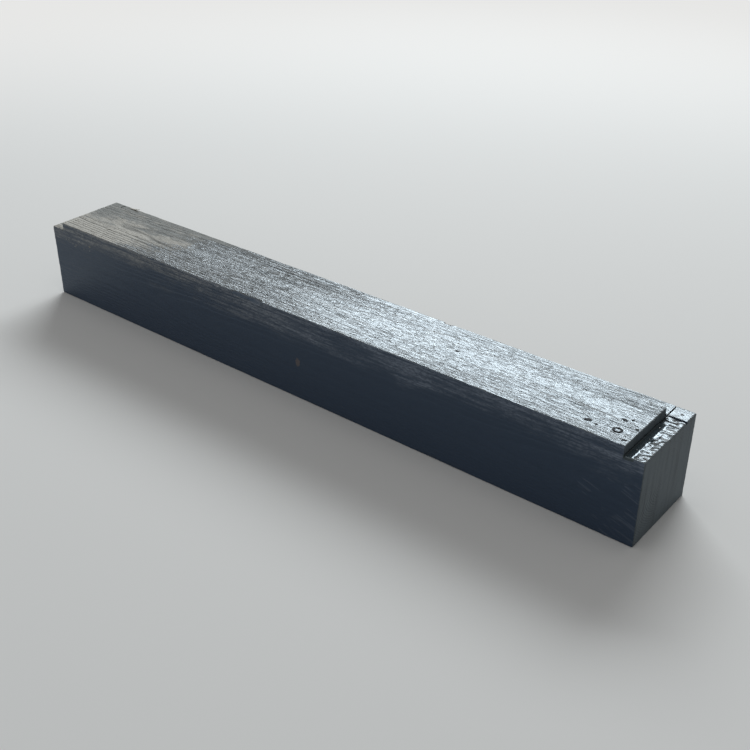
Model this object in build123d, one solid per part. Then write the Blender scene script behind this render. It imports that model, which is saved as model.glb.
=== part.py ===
from build123d import *
from math import isclose
import os

# Railway sleeper: one sawn timber, treated and lying on its underside. A shallow rebate along the back
# and across both ends leaves a raised field on top, and the front is flush with the field.
# Millimetres. X runs along the timber, Y across it towards the rebated back, and Z up. The origin is
# at the middle of the underside.

# The timber as sawn
LENGTH = 1600.0
WIDTH = 200.0
HEIGHT = 200.0

# The rebate that leaves the raised field
REBATE_DEPTH = 18.0
BACK_REBATE = 43.0
END_REBATE = 40.0

# The saw kerfs at the foot of the risers, cut a little below the shoulders and right out through the
# faces of the timber: one ripped along the back, and one crosscut at each end
RIP_KERF_WIDTH = 5.0
RIP_KERF_DEPTH = 4.0
CROSS_KERF_WIDTH = 3.0
CROSS_KERF_DEPTH = 3.0

# The arrises worn round in handling: the timber's own, and the rim of the raised field
OUTER_ARRIS = 2.5
RIM_ARRIS = 2.0

# What follows from the sizes above: the shoulders' level, and the lines of the back and end risers
SHOULDER = HEIGHT - REBATE_DEPTH
BACK_RISER = WIDTH / 2 - BACK_REBATE
END_RISER = LENGTH / 2 - END_REBATE


def rebated_timber():
    """The squared timber with its rebate: the whole plan up to the shoulders, and the field above."""
    plan = Rectangle(LENGTH, WIDTH)
    field = Pos(0, -BACK_REBATE / 2) * Rectangle(2 * END_RISER, WIDTH - BACK_REBATE)
    shoulders = extrude(Plane.XY.offset(SHOULDER) * (plan - field), REBATE_DEPTH)
    return extrude(plan, HEIGHT) - shoulders


def rip_kerf():
    """The kerf along the foot of the back riser, open at both ends."""
    slot = Rectangle(LENGTH, RIP_KERF_WIDTH)
    floor = Plane.XY.offset(SHOULDER - RIP_KERF_DEPTH)
    return extrude(floor * Pos(0, BACK_RISER + RIP_KERF_WIDTH / 2) * slot, RIP_KERF_DEPTH)


def cross_kerfs():
    """The kerfs across the timber at the foot of both end risers, open at the front and the back."""
    slot = Rectangle(CROSS_KERF_WIDTH, WIDTH)
    floor = Plane.XY.offset(SHOULDER - CROSS_KERF_DEPTH)
    middle = END_RISER + CROSS_KERF_WIDTH / 2
    slots = [Pos(end * middle, 0) * slot for end in (-1, 1)]
    return [extrude(floor * each, CROSS_KERF_DEPTH) for each in slots]


def on_face(edge):
    """Whether the edge lies in one of the timber's four upright faces."""
    middle = edge @ 0.5
    return isclose(abs(middle.X), LENGTH / 2) or isclose(abs(middle.Y), WIDTH / 2)


def on_corner(edge):
    """Whether the edge is one of the timber's four upright corners."""
    middle = edge @ 0.5
    return isclose(abs(middle.X), LENGTH / 2) and isclose(abs(middle.Y), WIDTH / 2)


def eased(timber):
    """The timber with its worn arrises. The kerfs' lips and the risers' upright edges stay sharp."""
    edges = timber.edges()
    foot = edges.group_by(Axis.Z)[0]
    brow = edges.filter_by_position(Axis.Z, SHOULDER, SHOULDER).filter_by(on_face)
    corners = edges.filter_by(Axis.Z).filter_by(on_corner)
    timber = fillet(foot + brow + corners, OUTER_ARRIS)
    rim = timber.edges().group_by(Axis.Z)[-1]
    return fillet(rim, RIM_ARRIS)


def sleeper():
    """The whole sleeper, one solid."""
    return eased(rebated_timber() - rip_kerf() - cross_kerfs())


os.makedirs("parts", exist_ok=True)
export_step(sleeper(), "parts/sleeper.step")
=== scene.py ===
"""The dressed model of a sawn and treated timber sleeper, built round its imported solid.

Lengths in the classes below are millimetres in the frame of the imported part: X along the timber, Y
across it towards the rebated back, and Z up from the underside. They turn into metres where a mesh
is made. The finishes, the lamps and the studio are in metres.
"""

from __future__ import annotations

import logging
import math
from dataclasses import dataclass, field
from enum import Enum
from functools import cached_property, reduce
from typing import Callable

import bpy
import numpy as np
from mathutils import Euler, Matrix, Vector
from mathutils.geometry import delaunay_2d_cdt

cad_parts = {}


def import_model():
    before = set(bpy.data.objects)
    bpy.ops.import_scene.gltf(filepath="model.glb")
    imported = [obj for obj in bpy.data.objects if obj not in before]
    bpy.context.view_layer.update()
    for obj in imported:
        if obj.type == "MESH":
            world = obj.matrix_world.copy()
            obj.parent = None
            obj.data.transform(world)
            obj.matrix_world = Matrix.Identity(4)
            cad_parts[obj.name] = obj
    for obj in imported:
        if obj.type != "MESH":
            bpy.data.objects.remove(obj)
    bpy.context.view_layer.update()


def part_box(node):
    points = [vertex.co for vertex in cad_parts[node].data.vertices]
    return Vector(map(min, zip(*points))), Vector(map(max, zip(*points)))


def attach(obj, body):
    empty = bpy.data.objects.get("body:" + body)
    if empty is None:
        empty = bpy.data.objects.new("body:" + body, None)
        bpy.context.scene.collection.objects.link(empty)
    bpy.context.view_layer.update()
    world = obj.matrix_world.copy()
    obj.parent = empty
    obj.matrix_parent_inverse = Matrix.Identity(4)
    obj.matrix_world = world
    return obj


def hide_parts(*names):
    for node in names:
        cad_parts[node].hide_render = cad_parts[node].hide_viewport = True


LOG = logging.getLogger("sleeper")
MM = 0.001
WELD = 0.001
NEAR = 1e-6
BODY = "root"
NODE = "sleeper"
REFRACTION = 1.5
HASH_FACTORS = (374761393, 668265263, 2147483647, 1274126177)
HASH_ROUNDS = ((13, 1103515245), (15, 2246822519))
HASH_MASK = 0xFFFFFFFF
VALUE_MASK = 0xFFFFFF
OCTAVE_SEED = 17
Span = tuple[float, float]
Slope = tuple[float, float]
Ramp = tuple[float, float, float, float]
Triple = tuple[float, float, float]
Colour = tuple[float, float, float, float]
Steps = tuple[float, ...]
Weights = tuple[float, ...]
Array = np.ndarray
Ground = Callable[[Array, Array], Array]
Mesh = tuple[Array, list[tuple[int, ...]]]
Object = bpy.types.Object
Material = bpy.types.Material
Socket = bpy.types.NodeSocket


class Way(Enum):
    """The six ways that a face of the timber can look, as (axis, sign)."""

    END_RIGHT = (0, 1)
    END_LEFT = (0, -1)
    BACK = (1, 1)
    FRONT = (1, -1)
    UP = (2, 1)
    DOWN = (2, -1)


@dataclass(frozen=True)
class SmoothNoise:
    """Seeded smooth noise in space, between -1 and 1."""

    seed: int

    def _corner(self, *cell: Array) -> Array:
        """The random value of each corner of the noise's cells.

        Args:
            cell: The corners' whole-number places along X, Y and Z.

        Returns:
            Values between -1 and 1, one for each corner.
        """
        mixed = sum(part * factor for part, factor in zip((*cell, self.seed), HASH_FACTORS)) & HASH_MASK
        for shift, factor in HASH_ROUNDS:
            mixed = ((mixed ^ (mixed >> shift)) * factor) & HASH_MASK
        return ((mixed ^ (mixed >> 16)) & VALUE_MASK) / float(VALUE_MASK >> 1) - 1.0

    def at(self, *places: Array) -> Array:
        """The noise at the given places.

        Args:
            places: Their X, Y and Z, in cells of the noise.

        Returns:
            One value for each place.
        """
        places = np.broadcast_arrays(*(np.asarray(axis, float) for axis in places))
        cells = [np.floor(axis).astype(np.int64) for axis in places]
        parts = [axis - cell for axis, cell in zip(places, cells)]
        fades = [part * part * part * (part * (part * 6 - 15) + 10) for part in parts]
        total = np.zeros(places[0].shape)
        for corner in range(8):
            steps = [(corner >> axis) & 1 for axis in range(3)]
            weight = np.ones(total.shape)
            for fade, step in zip(fades, steps):
                weight = weight * (fade if step else 1 - fade)
            total += weight * self._corner(*(cell + step for cell, step in zip(cells, steps)))
        return total

    def layered(self, x: Array, y: Array, z: Array, octaves: int = 3) -> Array:
        """The noise with finer and weaker copies of itself added.

        Args:
            x: Places along X, in cells of the coarsest noise.
            y: Places along Y.
            z: Places along Z.
            octaves: How many copies there are in all.

        Returns:
            One value for each place, still about between -1 and 1.
        """
        total, weight, reach = 0.0, 1.0, 0.0
        for octave in range(octaves):
            scale = 2.0**octave
            finer = SmoothNoise(self.seed + OCTAVE_SEED * octave)
            total = total + weight * finer.at(x * scale, y * scale, z * scale)
            reach += weight
            weight *= 0.5
        return total / reach

    def pitted(self, x: Array, y: Array, z: Array, octaves: int = 1) -> Array:
        """The layered noise turned into depths from 0 to 1."""
        return 0.5 - 0.5 * self.layered(x, y, z, octaves)


def smooth_step(low: float, high: float, value: Array) -> Array:
    """A soft step, from 0 where the value is low to 1 where it is high."""
    part = np.clip((value - low) / (high - low), 0.0, 1.0)
    return part * part * (3 - 2 * part)


def lattice_lines(stops: Steps, steps: Steps) -> Array:
    """Lines through every stop, and evenly spaced between them.

    Args:
        stops: Places that have a line, in rising order.
        steps: The spacing wanted between each stop and the next.

    Returns:
        The places of the lines.
    """
    places = [stops[0]]
    for start, stop, step in zip(stops, stops[1:], steps):
        count = max(1, round((stop - start) / step))
        places += list(np.linspace(start, stop, count + 1)[1:])
    return np.array(places)


def linked(name: str, data: bpy.types.ID) -> Object:
    """Makes an object and links it to the scene.

    Args:
        name: The object's name.
        data: Its mesh, lamp or camera.

    Returns:
        The object.
    """
    made = bpy.data.objects.new(name, data)
    bpy.context.scene.collection.objects.link(made)
    return made


def mesh_object(name: str, points: list, faces: list, finish: Material, crease: float = 0.0) -> Object:
    """Makes an object from points and faces.

    Args:
        name: The object's name.
        points: Its points, in metres.
        faces: Its faces, as groups of point numbers.
        finish: Its material.
        crease: The angle in degrees from which its edges look sharp, or 0 to leave its faces flat.

    Returns:
        The object.
    """
    mesh = bpy.data.meshes.new(name)
    mesh.from_pydata(points, [], faces)
    if crease:
        mesh.polygons.foreach_set("use_smooth", np.ones(len(mesh.polygons), bool))
        mesh.set_sharp_from_angle(angle=math.radians(crease))
    mesh.materials.append(finish)
    return linked(name, mesh)


def stand(thing: Object, place: Triple, target: Triple) -> None:
    """Puts a lamp or the camera in its place and turns it to its target."""
    thing.location = place
    thing.rotation_euler = (Vector(target) - Vector(place)).to_track_quat("-Z", "Y").to_euler()


@dataclass(frozen=True)
class Rebate:
    """The rebate round the raised field, and the kerfs at the foot of its risers."""

    depth: float = 18.0
    back_width: float = 43.0
    end_width: float = 40.0
    rip_width: float = 5.0
    rip_depth: float = 4.0
    cross_width: float = 3.0
    cross_depth: float = 3.0


@dataclass(frozen=True)
class GrowthRings:
    """The yearly rings of the log. They are cones about a wandering pith, widest at the butt."""

    pith_y: float = -8.0
    pith_z: float = 104.0
    pitch: float = 4.7
    rise: float = 0.016
    flatness: float = 1.06
    wander_y: float = 9.0
    wander_z: float = 7.0
    wander_length: float = 520.0
    swirl: float = 3.2
    swirl_cells: Triple = (310.0, 46.0, 46.0)
    ripple: float = 0.5
    ripple_cells: Triple = (55.0, 11.0, 11.0)
    noise: SmoothNoise = SmoothNoise(11)

    def phase(self, points: Array) -> Array:
        """How many rings lie between the pith and each point.

        Args:
            points: Places in the timber, one row each.

        Returns:
            The count of rings, with its fraction.
        """
        x, y, z = points.T
        along = x / self.wander_length
        pith_y = self.pith_y + self.wander_y * self.noise.layered(along, 0.5, 0.5, 2)
        pith_z = self.pith_z + self.wander_z * self.noise.layered(along, 7.5, 0.5, 2)
        radius = np.hypot(y - pith_y, (z - pith_z) * self.flatness)
        swirl = self.swirl * self.noise.layered(*(points / self.swirl_cells).T)
        ripple = self.ripple * self.noise.at(*(points / self.ripple_cells).T)
        return (radius - self.rise * x + swirl + ripple) / self.pitch


@dataclass(frozen=True)
class Chip:
    """A stretch of an upper arris that has split away, leaving a steep ragged face."""

    x: float
    length: float
    reach: float
    way: Way
    steepness: float = 2.0
    plateau: float = 0.8
    tooth: float = 13.0
    even: float = 0.68
    ragged: float = 0.32

    def bite(self, x: Array, noise: SmoothNoise) -> Array:
        """How far the break reaches into the top.

        Args:
            x: Places along the arris.
            noise: What makes the break ragged.

        Returns:
            One reach for each place.
        """
        along = smooth_step(self.length / 2, self.length / 2 * self.plateau, np.abs(x - self.x))
        ragged = self.even + self.ragged * noise.layered(x / self.tooth, self.x, 0.5, 2)
        return self.reach * along * ragged


@dataclass(frozen=True)
class Dip:
    """A shallow round hollow in the top."""

    x: float
    y: float
    radius: float
    depth: float
    flat_share: float = 0.45

    def sunk(self, x: Array, y: Array) -> Array:
        """How far the hollow lies below the plain top at each place."""
        out = np.hypot(x - self.x, y - self.y)
        return self.depth * smooth_step(self.radius, self.flat_share * self.radius, out)


@dataclass
class TimberLattice:
    """The closed mesh of the timber with sharp edges, on lines that all its faces share.

    Steps are the lines' spacings from one stop to the next.
    """

    length: float
    width: float
    height: float
    rebate: Rebate
    arris: float = 2.6
    rim: float = 2.4
    near_end: float = 150.0
    band: float = 18.0
    x_steps: Steps = (5.2, 4.4, 0.8, 1.5, 2.1, 0.87)
    y_steps: Steps = (0.65, 1.3, 0.8, 1.7, 1.35, 0.65)
    wall_steps: Steps = (1.0, 1.0, 2.6, 0.65)
    arris_step: float = 0.87
    band_step: float = 3.6
    front_step: float = 7.3
    back_step: float = 14.6
    end_step: float = 5.0
    underside_step: float = 40.0
    notch_margin: float = 1.2
    quads: list[Array] = field(default_factory=list)
    ways: list[Way] = field(default_factory=list)

    def __post_init__(self) -> None:
        """Works out the planes, the lines and the levels that the faces share."""
        cut = self.rebate
        self.end, self.side, self.shoulder = self.length / 2, self.width / 2, self.height - cut.depth
        self.riser_x, self.riser_y = self.end - cut.end_width, self.side - cut.back_width
        self.lip_x, self.lip_y = self.riser_x + cut.cross_width, self.riser_y + cut.rip_width
        self.cross_floor, self.rip_floor = self.shoulder - cut.cross_depth, self.shoulder - cut.rip_depth
        self.x, self.y, self.walls = self.x_lines(), self.y_lines(), self.wall_lines()
        self.tall = self.levels()

    def x_lines(self) -> Array:
        """Lines along the timber, closer at its ends, arrises and kerfs.

        Returns:
            The places of the lines, the same on both sides of the middle.
        """
        right = lattice_lines((0.0, self.riser_x - self.near_end, self.riser_x - self.rim, self.riser_x,
                               self.lip_x, self.end - self.arris, self.end), self.x_steps)
        return np.concatenate([-right[:0:-1], right])

    def y_lines(self) -> Array:
        """Lines across the top, close enough for the grain."""
        return lattice_lines((-self.side, -self.side + self.arris, self.riser_y - self.rim, self.riser_y,
                              self.lip_y, self.side - self.arris, self.side), self.y_steps)

    def wall_lines(self) -> Array:
        """Levels that all upright faces share from the bottom of the kerfs to the top."""
        return lattice_lines((self.rip_floor, self.cross_floor, self.shoulder, self.height - self.arris,
                              self.height), self.wall_steps)

    def side_lines(self, step: float) -> Array:
        """Levels of an outer side, closer at its arrises and kerfs.

        Args:
            step: How far apart they are over the middle of the side.

        Returns:
            The levels from the underside to the top.
        """
        low = lattice_lines((0.0, self.arris, self.cross_floor - self.band, self.cross_floor),
                            (self.arris_step, step, self.band_step))
        return np.concatenate([low, self.walls[self.walls > self.cross_floor + NEAR]])

    def plain_lines(self, low: float, high: float, step: float) -> Array:
        """Lines a step apart between two arrises, and closer beside them."""
        return lattice_lines((low, low + self.arris, high - self.arris, high),
                             (self.arris_step, step, self.arris_step))

    def under_lines(self) -> Array:
        """Lines across the underside, which stays plain."""
        return self.plain_lines(-self.side, self.side, self.underside_step)

    def levels(self) -> Array:
        """The height of the top over each cell of the plan.

        Returns:
            A table of heights, one row for each stretch along the timber.
        """
        x, y = ((lines[:-1] + lines[1:]) / 2 for lines in (self.x, self.y))
        x, y = np.meshgrid(np.abs(x), y, indexing="ij")
        tall = np.full(x.shape, self.shoulder)
        tall[(x > self.riser_x) & (x < self.lip_x)] = self.cross_floor
        tall[(y > self.riser_y) & (y < self.lip_y)] = self.rip_floor
        tall[(x < self.riser_x) & (y < self.riser_y)] = self.height
        return tall

    def _add(self, way: Way, first: tuple, second: tuple, place: Array) -> None:
        """Adds faces that look one way.

        Args:
            way: The way that the faces look.
            first: Low and high ends of the faces along the first of their own two axes.
            second: The same along the second.
            place: Where the faces stand on the axis that they look along.
        """
        axis, sign = way.value
        one, two = (axis + 1) % 3, (axis + 2) % 3
        corners = [(0, 0), (1, 0), (1, 1), (0, 1)][::sign]
        quad = np.zeros((len(place), 4, 3))
        for index, (a, b) in enumerate(corners):
            quad[:, index, axis] = place
            quad[:, index, one] = first[a]
            quad[:, index, two] = second[b]
        self.quads.append(quad)
        self.ways += [way] * len(place)

    def _add_top(self) -> None:
        """Adds the field, the shoulders and the floors of the kerfs."""
        i, j = (index.ravel() for index in np.indices(self.tall.shape))
        self._add(Way.UP, (self.x[i], self.x[i + 1]), (self.y[j], self.y[j + 1]), self.tall.ravel())

    def _add_walls(self) -> None:
        """Adds the risers and the walls of the kerfs, level by level."""
        x, y = self.x, self.y
        for rise in zip(self.walls, self.walls[1:]):
            over = self.tall > (rise[0] + rise[1]) / 2
            falls = {Way.END_RIGHT: over[:-1] & ~over[1:], Way.END_LEFT: ~over[:-1] & over[1:]}
            for way, fall in falls.items():
                i, j = np.nonzero(fall)
                self._add(way, (y[j], y[j + 1]), rise, x[i + 1])
            falls = {Way.BACK: over[:, :-1] & ~over[:, 1:], Way.FRONT: ~over[:, :-1] & over[:, 1:]}
            for way, fall in falls.items():
                i, j = np.nonzero(fall)
                self._add(way, rise, (x[i], x[i + 1]), y[j + 1])

    def _add_side(self, way: Way, z: Array, tall: Array) -> None:
        """Adds the front or the back.

        Args:
            way: The way that the side looks.
            z: The levels of the side.
            tall: The height of the top beside each stretch of the side.
        """
        i, k = (index.ravel() for index in np.indices((len(self.x) - 1, len(z) - 1)))
        keep = (z[k] + z[k + 1]) / 2 < tall[i]
        i, k = i[keep], k[keep]
        place = np.full(len(i), way.value[1] * self.side)
        self._add(way, (z[k], z[k + 1]), (self.x[i], self.x[i + 1]), place)

    def _add_underside(self) -> None:
        """Adds the underside."""
        x, y = self.x, self.under_lines()
        i, j = (index.ravel() for index in np.indices((len(x) - 1, len(y) - 1)))
        self._add(Way.DOWN, (x[i], x[i + 1]), (y[j], y[j + 1]), np.zeros(len(i)))

    def end_outline(self, front: Array, back: Array) -> Array:
        """The outline of an end, with the rip kerf's notch.

        Args:
            front: The levels of the front.
            back: The levels of the back.

        Returns:
            Points of Y and Z, anticlockwise as seen from the right end.
        """
        across, top = self.y, self.shoulder
        ledge = across[(across > self.lip_y - NEAR) & (across < self.side - NEAR)]
        kerf = across[(across > self.riser_y + NEAR) & (across < self.lip_y - NEAR)]
        walls = self.walls[self.walls < top - NEAR]
        outline = [(y, 0.0) for y in self.under_lines()]
        outline += [(self.side, z) for z in back[(back > NEAR) & (back < top + NEAR)]]
        outline += [(y, top) for y in ledge[::-1]]
        outline += [(self.lip_y, z) for z in walls[::-1]]
        outline += [(y, self.rip_floor) for y in kerf[::-1]]
        outline += [(self.riser_y, z) for z in walls]
        outline += [(y, top) for y in across[across < self.riser_y + NEAR][::-1]]
        outline += [(-self.side, z) for z in front[(front > NEAR) & (front < top - NEAR)][::-1]]
        return np.array(outline)

    def end_triangles(self, outline: Array) -> Array:
        """The triangles of the right end.

        Args:
            outline: The outline of the end.

        Returns:
            The corners of each triangle, in space.
        """
        across = self.plain_lines(-self.side, self.side, self.end_step)
        up = self.plain_lines(0.0, self.shoulder, self.end_step)
        y, z = (grid.ravel() for grid in np.meshgrid(across[1:-1], up[1:-1]))
        half = self.rebate.rip_width / 2
        notch = np.abs(y - self.riser_y - half) < half + self.notch_margin
        keep = ~(notch & (z > self.rip_floor - self.notch_margin))
        points = [Vector(point) for point in outline] + [Vector(point) for point in zip(y[keep], z[keep])]
        places, _, faces, *_ = delaunay_2d_cdt(points, [], [list(range(len(outline)))], 1, 1e-5)
        flat = np.array([[places[index][:] for index in face] for face in faces])
        return np.concatenate([np.full(flat.shape[:2] + (1,), self.end), flat], axis=2)

    def build(self) -> tuple[Array, list[list[int]], Array]:
        """Builds and welds all the faces.

        Returns:
            The vertices, the faces as lists of vertex numbers, and for each vertex which of the six
            ways the faces that meet there look.
        """
        front, back = self.side_lines(self.front_step), self.side_lines(self.back_step)
        self._add_top()
        self._add_walls()
        self._add_side(Way.FRONT, front, self.tall[:, 0])
        self._add_side(Way.BACK, back, self.tall[:, -1])
        self._add_underside()
        quads = np.concatenate(self.quads)
        right = self.end_triangles(self.end_outline(front, back))
        left = right[:, ::-1].copy()
        left[:, :, 0] *= -1
        corners = np.concatenate([faces.reshape(-1, 3) for faces in (quads, right, left)])
        keys = np.round(corners / WELD).astype(np.int64)
        _, first, numbers = np.unique(keys, axis=0, return_index=True, return_inverse=True)
        split = [len(quads) * 4, len(quads) * 4 + len(right) * 3]
        fours, *threes = np.split(numbers.ravel(), split)
        faces = fours.reshape(-1, 4).tolist() + np.concatenate(threes).reshape(-1, 3).tolist()
        ways = self.ways + [Way.END_RIGHT] * len(right) + [Way.END_LEFT] * len(left)
        looks = np.zeros((len(first), len(Way)), bool)
        order = {way: index for index, way in enumerate(Way)}
        for face, way in zip(faces, ways):
            looks[face, order[way]] = True
        return corners[first], faces, looks


@dataclass(frozen=True)
class SawnRelief:
    """How far the real surface lies inside the sharp-edged timber, face by face.

    A span is where something begins and ends, along the timber or across it.
    """

    rings: GrowthRings = GrowthRings()
    ridge: float = 0.80
    fibre: float = 0.34
    mottle: float = 0.20
    hollow: float = 0.60
    proud: float = 0.60
    proud_weathered: float = 0.35
    proud_spread: float = 1.20
    proud_dusty: float = 0.38
    strip_flatness: float = 0.80
    back_strip_share: float = 0.7
    planed_flatness: float = 0.55
    proud_range: Span = (0.05, 1.0)
    proud_length: float = 170.0
    proud_jump: float = 3.7
    side_ridge: float = 0.256
    end_ring: float = 0.18
    late_rise: Span = (0.04, 0.70)
    late_fall: Span = (1.0, 0.74)
    fibre_cells: Triple = (60.0, 5.2, 5.2)
    mottle_cells: Triple = (17.0, 8.0, 8.0)
    hollow_cells: Span = (240.0, 80.0)
    side_cells: tuple[Triple, Triple] = ((60.0, 5.0, 9.0), (300.0, 70.0, 70.0))
    end_cells: Triple = (40.0, 38.0, 55.0)
    weathered_x: Span = (620.0, 700.0)
    weathered_y: Span = (-5.0, 15.0)
    open_x: Span = (-480.0, -120.0)
    planed_x: Span = (-90.0, 40.0)
    front_strip: Span = (-32.0, -70.0)
    back_strip: Span = (5.0, 30.0)
    dips: tuple[Dip, ...] = (
        Dip(722.0, -60.0, 34.0, 0.6),
        Dip(676.0, -66.0, 22.0, 0.45),
        Dip(724.0, -23.0, 20.0, 0.45),
    )
    noise: SmoothNoise = SmoothNoise(23)

    def early_wood(self, points: Array) -> Array:
        """From 0 in the hard late wood of each ring to 1 in its soft early wood, which lies lower."""
        part = self.rings.phase(points) % 1.0
        return 1 - smooth_step(*self.late_rise, part) * smooth_step(*self.late_fall, part)

    def rough_sawn(self, points: Array) -> Array:
        """The depth on the top, where the grain stands open.

        Args:
            points: Places on the top.

        Returns:
            Depths below the sharp surface.
        """
        x, y, _ = points.T
        weathered = smooth_step(*self.weathered_x, x) * smooth_step(*self.weathered_y, y)
        ring = np.floor(self.rings.phase(points))
        uneven = self.proud_spread * self.noise.at(ring * self.proud_jump, x / self.proud_length, 3.5)
        proud = np.clip(self.proud + self.proud_weathered * weathered + uneven, *self.proud_range)
        proud = proud * (self.proud_dusty + (1 - self.proud_dusty) * smooth_step(*self.open_x, x))
        planed = smooth_step(*self.planed_x, x)
        back_strip = self.back_strip_share * smooth_step(*self.back_strip, y) * (1 - weathered)
        strips = smooth_step(*self.front_strip, y) + back_strip
        proud = proud * (1 - self.strip_flatness * strips * planed)
        ridges = self.ridge * (1 - proud * (1 - self.early_wood(points)))
        fibre = self.fibre * self.noise.pitted(*(points / self.fibre_cells).T)
        mottle = self.mottle * self.noise.pitted(*(points / self.mottle_cells).T)
        hollow = self.hollow * (1 - self.planed_flatness * planed)
        hollow = hollow * self.noise.pitted(*(points[:, :2] / self.hollow_cells).T, 9.5, 2)
        return ridges + fibre + mottle + hollow + sum(dip.sunk(x, y) for dip in self.dips)

    def smooth_sawn(self, points: Array) -> Array:
        """The depth at places on the sides, where the tar oil has filled the grain."""
        fibre, hollow = (self.noise.pitted(*(points / cells).T, 2) for cells in self.side_cells)
        return self.side_ridge * self.early_wood(points) + 0.5 * self.fibre * fibre + self.hollow * hollow

    def crosscut(self, points: Array) -> Array:
        """The depth at places on the ends and the end risers."""
        hollow = self.noise.pitted(*(points / self.end_cells).T, 3)
        return self.end_ring * self.early_wood(points) + 0.5 * self.hollow * hollow


@dataclass
class SleeperBody:
    """The timber: its lattice, worn and relieved, with the marks that its finish reads.

    A span is where something begins and ends. Those called beyond lie past the right riser. A point
    within the slack of a face counts as on it.
    """

    low: Array
    high: Array
    rebate: Rebate = Rebate()
    relief: SawnRelief = SawnRelief()
    outer_arris: float = 2.3
    rim_arris: float = 1.9
    least_arris: float = 0.7
    arris_wear: float = 0.75
    arris_nicks: float = 0.35
    wear_cell: float = 34.0
    nick_cell: float = 5.0
    chip_drop: float = 30.0
    pool_beyond: Span = (21.0, 14.0)
    pool_y: Span = (48.0, 28.0)
    dish: float = 2.3
    dish_beyond: Span = (26.0, 6.0)
    dish_y: Span = (55.0, 36.0)
    pool_fill: float = 0.93
    pool_sink: float = 6.0
    pool_overlap: float = 3.0
    brim_cell: float = 13.0
    brim_ragged: float = 3.5
    slack: float = 1.0
    corner_beyond: Span = (-90.0, 0.0)
    corner_width: float = 6.0
    corner_fill: float = 0.85
    damp: Span = (-560.0, -330.0)
    damp_share: float = 0.36
    soaked: Span = (-120.0, 190.0)
    wet_slant: float = 0.9
    wet_ragged: float = 110.0
    wet_cells: Span = (90.0, 26.0)
    relief_below: Span = (18.0, 4.0)
    relief_reach: float = 9.0
    riser_share: float = 0.35
    crease: float = 52.0
    chips: tuple[Chip, ...] = (
        Chip(-132.0, 90.0, 8.0, Way.FRONT),
        Chip(-228.0, 26.0, 4.0, Way.FRONT),
        Chip(-420.0, 34.0, 3.0, Way.FRONT),
        Chip(-655.0, 30.0, 2.6, Way.FRONT),
        Chip(86.0, 26.0, 2.4, Way.FRONT),
        Chip(330.0, 34.0, 2.0, Way.FRONT),
        Chip(255.0, 17.0, 7.0, Way.BACK),
        Chip(-212.0, 12.0, 4.0, Way.BACK),
        Chip(-706.0, 60.0, 3.4, Way.BACK),
    )
    noise: SmoothNoise = SmoothNoise(41)

    @cached_property
    def lattice(self) -> TimberLattice:
        """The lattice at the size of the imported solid."""
        length, width, height = (self.high - self.low) / MM
        return TimberLattice(length, width, height, self.rebate)

    def arris_radius(self, points: Array, plain: Array) -> Array:
        """The radius to which the arris nearest to each point is worn.

        Args:
            points: Places on the sharp timber.
            plain: The radius at each of them where nothing is broken away.

        Returns:
            One radius for each point.
        """
        wear = self.arris_wear * self.noise.layered(*(points.T / self.wear_cell))
        nicks = self.arris_nicks * self.noise.at(*(points.T / self.nick_cell))
        return np.clip(plain + wear + nicks, self.least_arris, None)

    def split_away(self, points: Array) -> Array:
        """How far the chips lower each point.

        Args:
            points: The sharp points.

        Returns:
            One drop for each point.
        """
        x, y, z = points.T
        drop = np.zeros(len(points))
        for chip in self.chips:
            front = chip.way is Way.FRONT
            inward = self.lattice.side + (y if front else -y)
            brow = self.lattice.height if front else self.lattice.shoulder
            bite = chip.bite(x, self.noise)
            on_top = np.clip(bite - inward, 0.0, None) * (z > brow - 0.5)
            below = bite * smooth_step(brow - self.chip_drop, brow, z) * (inward < NEAR) * (z <= brow)
            drop = np.maximum(drop, chip.steepness * np.maximum(on_top, below))
        return drop

    def eased(self, points: Array) -> Array:
        """The points with the arrises worn round.

        Args:
            points: The sharp points.

        Returns:
            The worn points.
        """
        x, y, z = points.T
        sharp = self.lattice
        upper = z > sharp.shoulder + NEAR
        bare = (np.abs(x) > sharp.lip_x - NEAR) | (y > sharp.lip_y - NEAR)
        radius = self.arris_radius(points, np.where(upper, self.rim_arris, self.outer_arris))
        reach_x = np.where(upper, sharp.riser_x, sharp.end)
        reach_y = np.where(upper, sharp.riser_y, sharp.side)
        top = np.where(upper, sharp.height, np.where(bare, sharp.shoulder, np.inf))
        foot = np.where(upper, -np.inf, 0.0)
        core = np.stack([np.clip(x, radius - reach_x, reach_x - radius),
                         np.clip(y, radius - sharp.side, reach_y - radius),
                         np.clip(z, foot + radius, top - radius)], axis=1)
        away = points - core
        distance = np.linalg.norm(away, axis=1)
        share = np.where(distance > radius, radius / np.maximum(distance, NEAR), 1.0)
        return core + away * share[:, None]

    def puddled(self, points: Array) -> Array:
        """How far tar oil has filled the grain, which it has along the foot of the right riser.

        Args:
            points: Places on the timber.

        Returns:
            From 0, open, to 1, filled and level.
        """
        x, y, z = points.T
        beyond, above = x - self.lattice.riser_x, z - self.lattice.shoulder
        ragged = self.brim_ragged * self.noise.layered(y / self.brim_cell, 0.5, 3.5)
        brim = smooth_step(*self.pool_beyond, beyond - ragged) * smooth_step(*self.pool_y, y)
        level = (above < self.slack) & (above > -self.pool_sink)
        in_reach = (beyond > -self.slack) & (y < self.lattice.riser_y + self.pool_overlap)
        return np.where(level & in_reach, brim, 0.0)

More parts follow.
